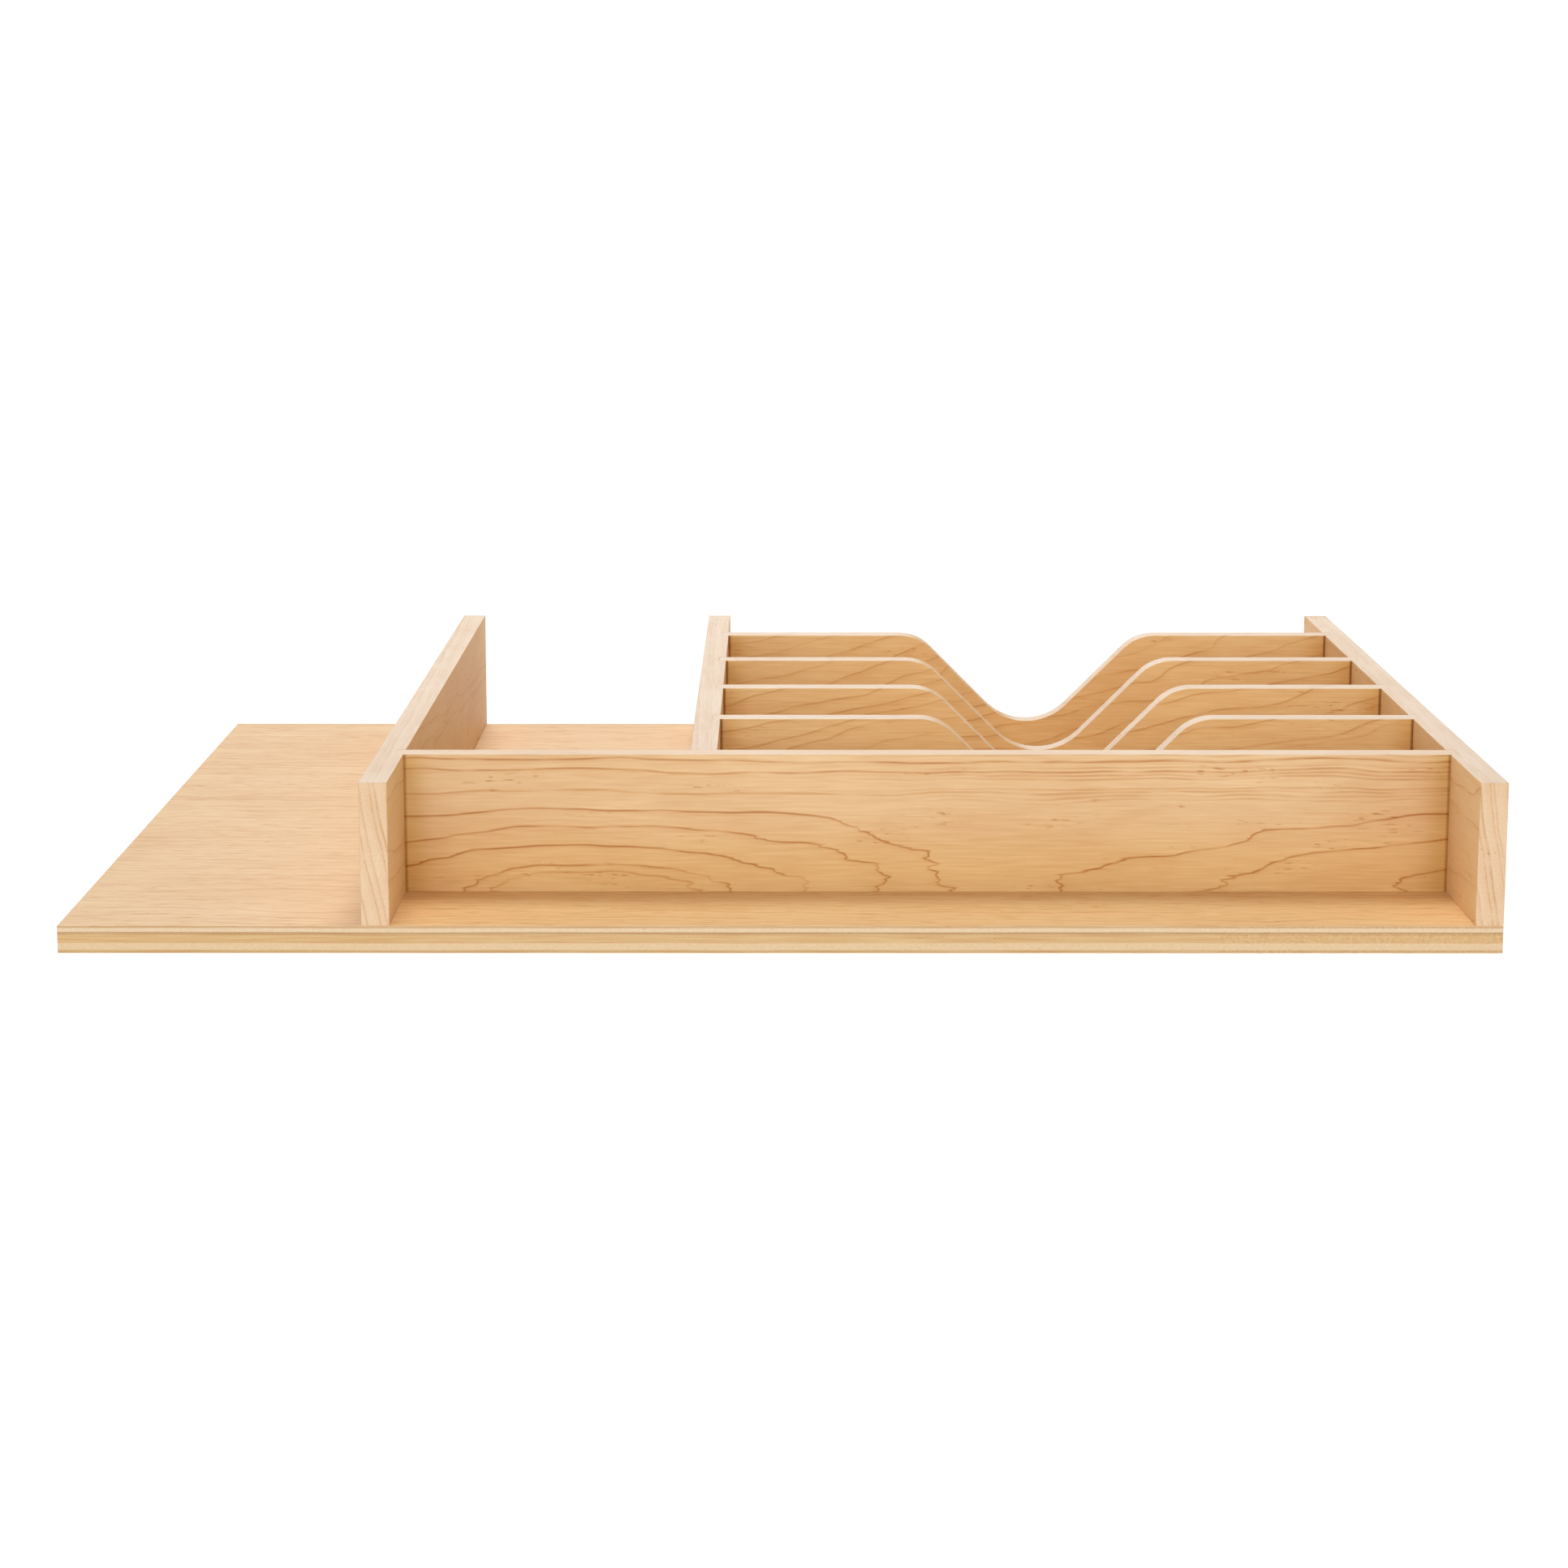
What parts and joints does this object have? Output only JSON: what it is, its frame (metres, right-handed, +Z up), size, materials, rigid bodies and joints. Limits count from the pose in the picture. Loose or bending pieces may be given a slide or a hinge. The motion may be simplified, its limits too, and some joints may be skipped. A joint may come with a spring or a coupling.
{
  "type": "drawer organizer insert",
  "caption": "Flat maple drawer insert: a wide trimmable base with long fixed dividers, a cross panel and a rack of lift-out dividers with deep finger scoops.",
  "frame": {"origin": "centre of the base's underside, the lowest plane of the part", "axes": "+X to the right along the front edge, +Y from the front tray towards the rear edge, +Z up"},
  "size_m": [0.65, 0.54, 0.0782],
  "materials": {
    "maple_plywood": "clear satin lacquer over a maple face veneer, bare ply at the edges",
    "maple_divider": "clear satin lacquer",
    "maple_cross_panel": "clear satin lacquer over strongly figured maple",
    "maple_scooped_divider": "clear satin lacquer",
    "zinc_plated_steel": "bright zinc plate"
  },
  "bodies": {
    "insert_frame": {"base_panel": "maple_plywood", "left_divider": "maple_divider", "middle_divider": "maple_divider", "right_divider": "maple_divider", "cross_panel": "maple_cross_panel", "left_divider_screw_1": "zinc_plated_steel", "left_divider_screw_2": "zinc_plated_steel", "left_divider_screw_3": "zinc_plated_steel", "middle_divider_screw_1": "zinc_plated_steel", "middle_divider_screw_2": "zinc_plated_steel", "middle_divider_screw_3": "zinc_plated_steel", "right_divider_screw_1": "zinc_plated_steel", "right_divider_screw_2": "zinc_plated_steel", "right_divider_screw_3": "zinc_plated_steel", "cross_panel_screw_1": "zinc_plated_steel", "cross_panel_screw_2": "zinc_plated_steel", "cross_panel_screw_3": "zinc_plated_steel"},
    "scooped_divider_1": {"scooped_divider_1": "maple_scooped_divider"},
    "scooped_divider_2": {"scooped_divider_2": "maple_scooped_divider"},
    "scooped_divider_3": {"scooped_divider_3": "maple_scooped_divider"},
    "scooped_divider_4": {"scooped_divider_4": "maple_scooped_divider"}
  },
  "joints": [
    {"name": "lift_scooped_divider_1", "type": "slide", "parent": "insert_frame", "child": "scooped_divider_1", "axis": [0, 0, 1], "range_m": [0, 0.075]},
    {"name": "lift_scooped_divider_2", "type": "slide", "parent": "insert_frame", "child": "scooped_divider_2", "axis": [0, 0, 1], "range_m": [0, 0.075]},
    {"name": "lift_scooped_divider_3", "type": "slide", "parent": "insert_frame", "child": "scooped_divider_3", "axis": [0, 0, 1], "range_m": [0, 0.075]},
    {"name": "lift_scooped_divider_4", "type": "slide", "parent": "insert_frame", "child": "scooped_divider_4", "axis": [0, 0, 1], "range_m": [0, 0.075]}
  ]
}
